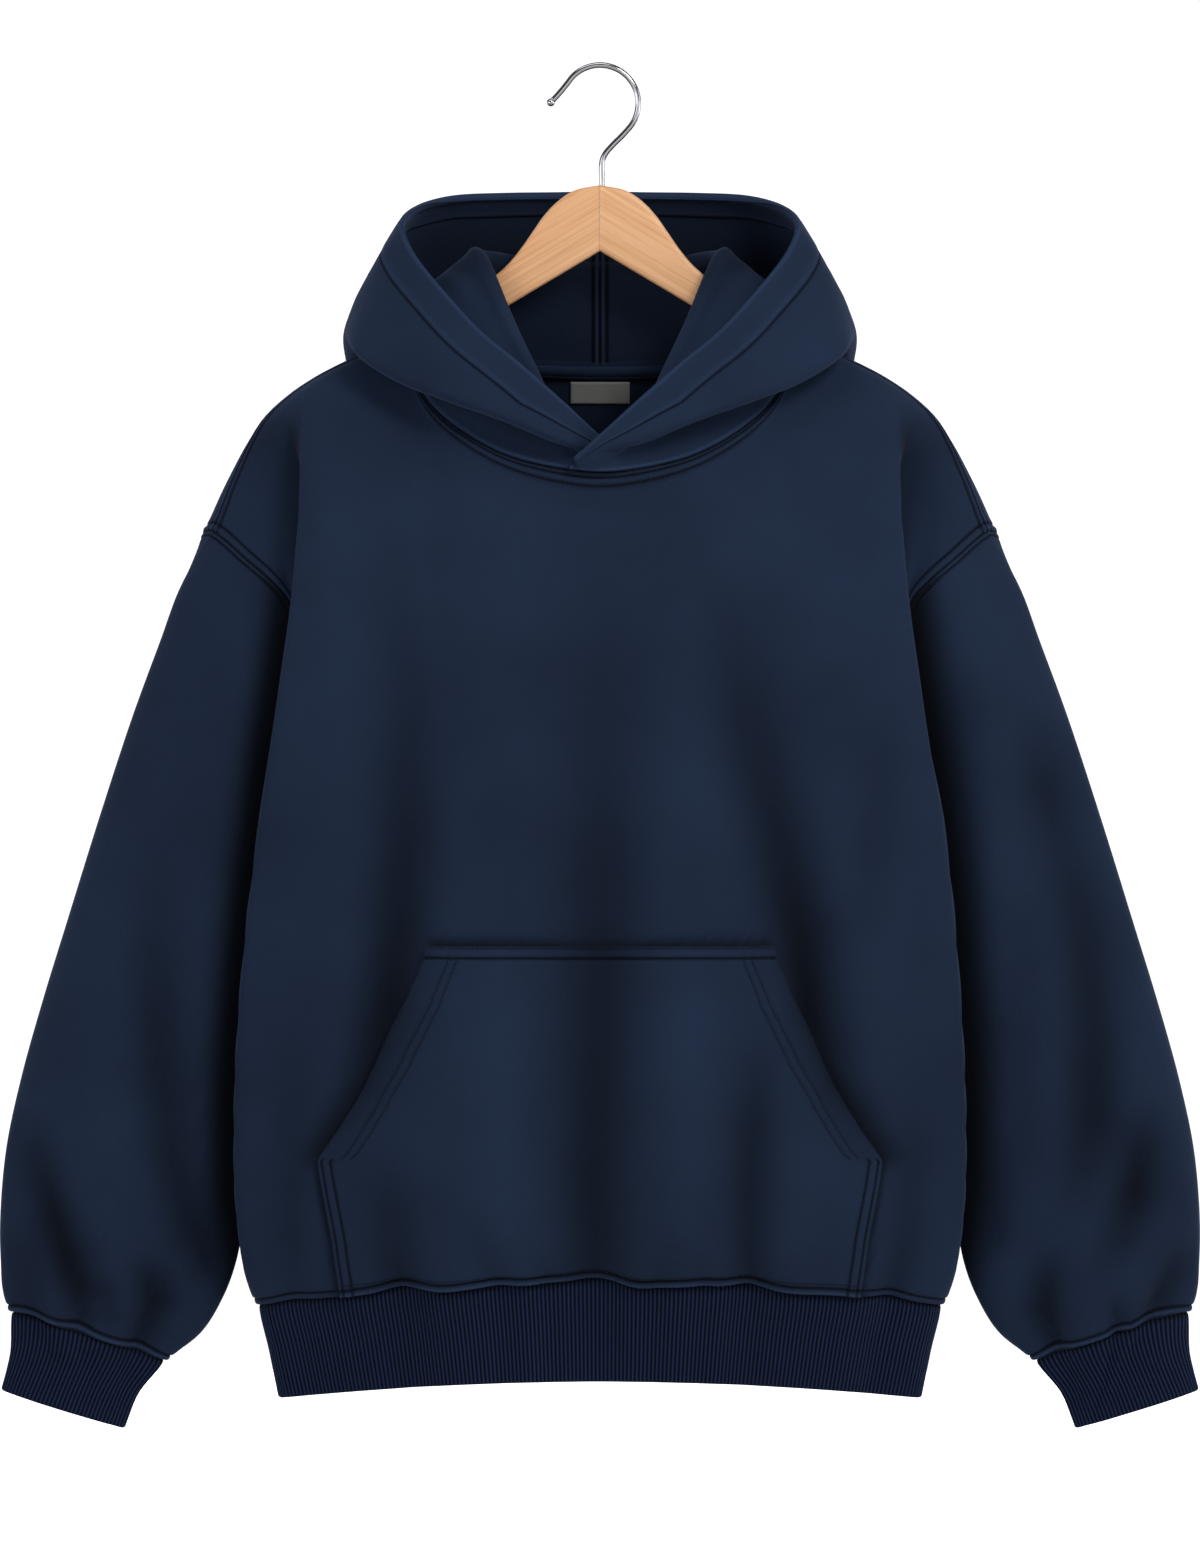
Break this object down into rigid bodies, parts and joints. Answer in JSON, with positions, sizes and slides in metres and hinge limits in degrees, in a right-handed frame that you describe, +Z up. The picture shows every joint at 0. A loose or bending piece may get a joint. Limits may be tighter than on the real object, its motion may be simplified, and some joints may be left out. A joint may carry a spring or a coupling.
{
  "type": "pullover hoodie on a wooden coat hanger",
  "caption": "Oversized pullover hoodie of thick navy fleece with a kangaroo pocket and ribbed cuffs and hem, hung on a wooden coat hanger with a wire hook.",
  "frame": {"origin": "highest point inside the hanger's hook, where the rail carries it", "axes": "+Z up, the garment's front faces -Y, +X is the wearer's left"},
  "size_m": [0.816, 0.1974, 0.9288],
  "materials": {
    "fleece": "matt brushed fleece",
    "rib": "ribbed knit",
    "label_cloth": "woven, blank",
    "wood": "clear satin lacquer",
    "wire": "polished"
  },
  "bodies": {
    "root": {"front": "fleece", "back": "fleece", "sleeve_left": "fleece", "sleeve_right": "fleece", "hood_left": "fleece", "hood_right": "fleece", "pocket": "fleece", "neck_tape": "fleece", "hem_band": "rib", "cuff_left": "rib", "cuff_right": "rib", "label": "label_cloth", "hanger": "wood", "hook": "wire"}
  },
  "joints": []
}
